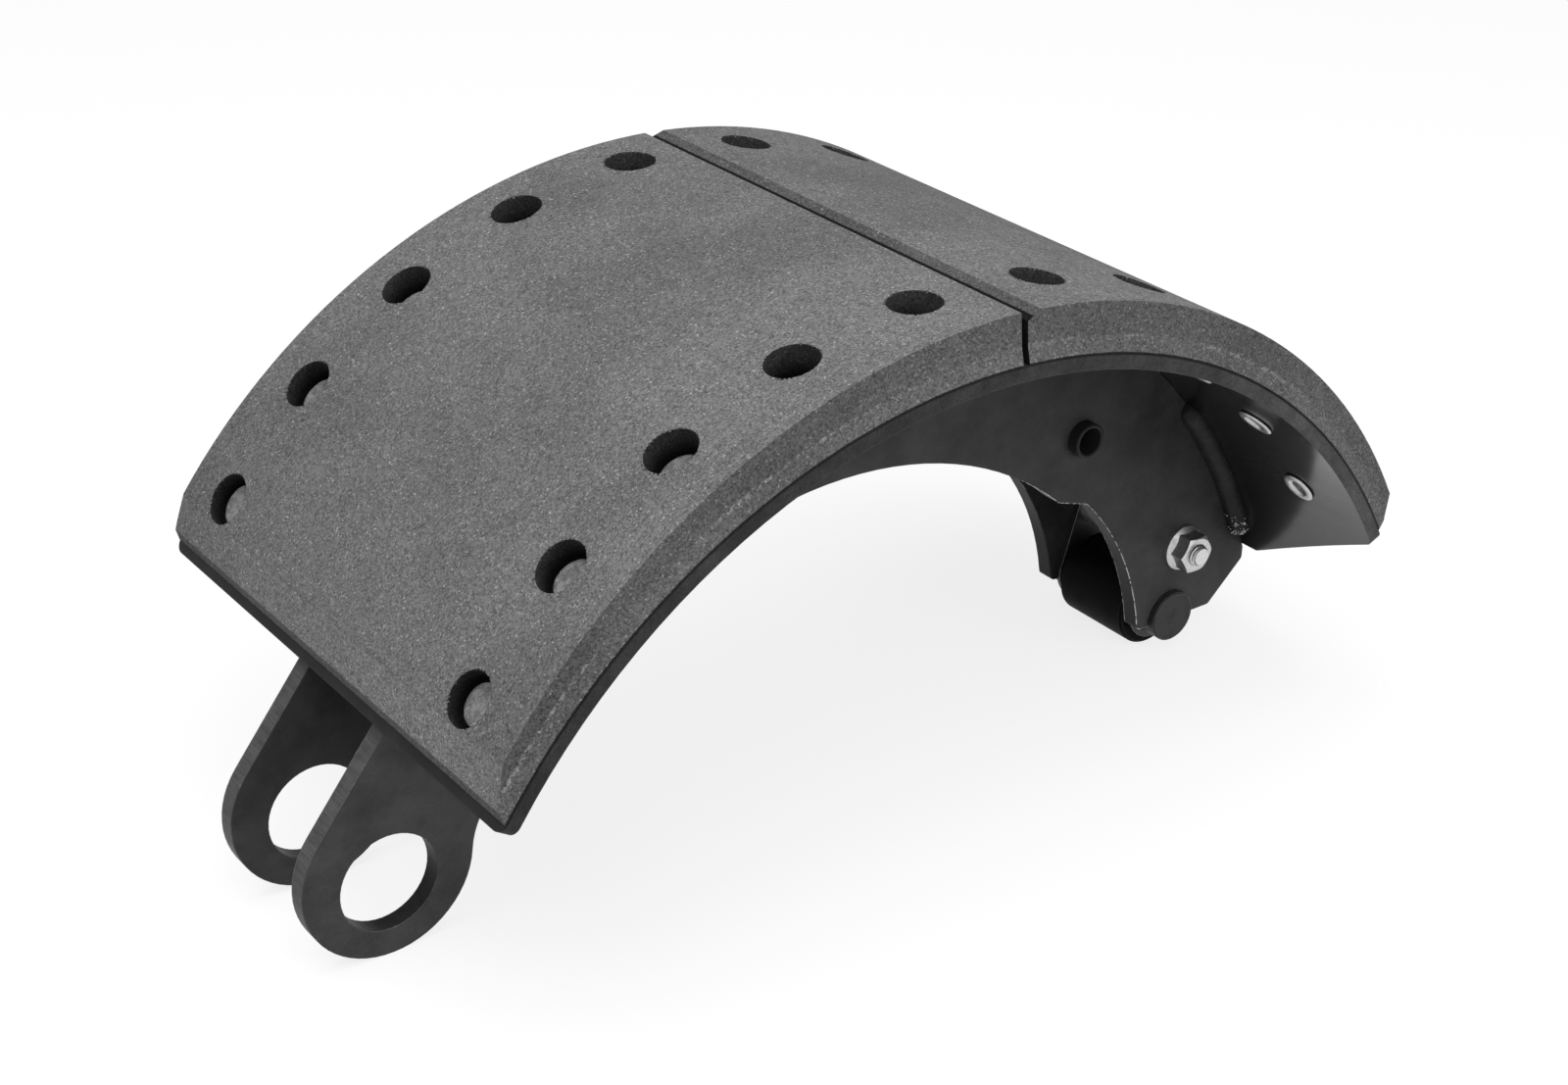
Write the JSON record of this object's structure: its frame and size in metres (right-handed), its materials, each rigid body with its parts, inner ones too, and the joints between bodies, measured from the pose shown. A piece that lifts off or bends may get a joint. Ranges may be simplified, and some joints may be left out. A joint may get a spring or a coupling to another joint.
{
  "type": "drum brake shoe",
  "caption": "Drum brake shoe: a curved table on welded webs with riveted friction linings, an anchor eye at one end and a cam roller on a retained pin at the other.",
  "frame": {"origin": "centre of the anchor bore, midway between the two webs", "axes": "+X from the anchor end to the cam end, +Y across the shoe, +Z outward through the crown of the linings; the anchor eyes and the roller rest on one plane square to +Z"},
  "size_m": [0.3888, 0.2014, 0.1893],
  "materials": {
    "table_paint": "satin black paint on pressed steel plate",
    "web_paint": "satin black paint on steel plate, worn at the edges",
    "weld_paint": "satin black paint on weld bead",
    "tube_paint": "satin black paint, thin at the rims",
    "friction_lining": "ground, resin-bonded friction material with fine bright specks",
    "rivet_steel": "plated, bright on the rolled rims",
    "zinc_plate": "bright zinc plate",
    "roller_steel": "hardened, blackened, bare where the end is worn",
    "pin_steel": "dark heat-treated",
    "retainer_steel": "dark folded sheet with bright cut edges"
  },
  "bodies": {
    "shoe": {"shoe_table": "table_paint", "near_web": "web_paint", "far_web": "web_paint", "anchor_lining": "friction_lining", "cam_lining": "friction_lining", "roller_pin": "pin_steel", "roller_retainer": "retainer_steel", "retainer_bolt": "zinc_plate", "retainer_nut": "zinc_plate", "bolt_spacer": "zinc_plate", "spring_tube": "tube_paint", "near_cam_weld": "weld_paint", "far_cam_weld": "weld_paint", "near_anchor_weld": "weld_paint", "far_anchor_weld": "weld_paint", "anchor_rivet_1_near": "rivet_steel", "anchor_rivet_1_far": "rivet_steel", "anchor_rivet_2_near": "rivet_steel", "anchor_rivet_2_far": "rivet_steel", "anchor_rivet_3_near": "rivet_steel", "anchor_rivet_3_far": "rivet_steel", "anchor_rivet_4_near": "rivet_steel", "anchor_rivet_4_far": "rivet_steel", "anchor_rivet_5_near": "rivet_steel", "anchor_rivet_5_far": "rivet_steel", "cam_rivet_1_near": "rivet_steel", "cam_rivet_1_far": "rivet_steel", "cam_rivet_2_near": "rivet_steel", "cam_rivet_2_far": "rivet_steel", "cam_rivet_3_near": "rivet_steel", "cam_rivet_3_far": "rivet_steel", "cam_rivet_4_near": "rivet_steel", "cam_rivet_4_far": "rivet_steel", "cam_rivet_5_near": "rivet_steel", "cam_rivet_5_far": "rivet_steel"},
    "roller": {"roller": "roller_steel"}
  },
  "joints": [
    {"name": "roller_spin", "type": "hinge", "parent": "shoe", "child": "roller", "pos_m": [0.31998, 0, -0.0099], "axis": [0, 1, 0], "continuous": true}
  ]
}
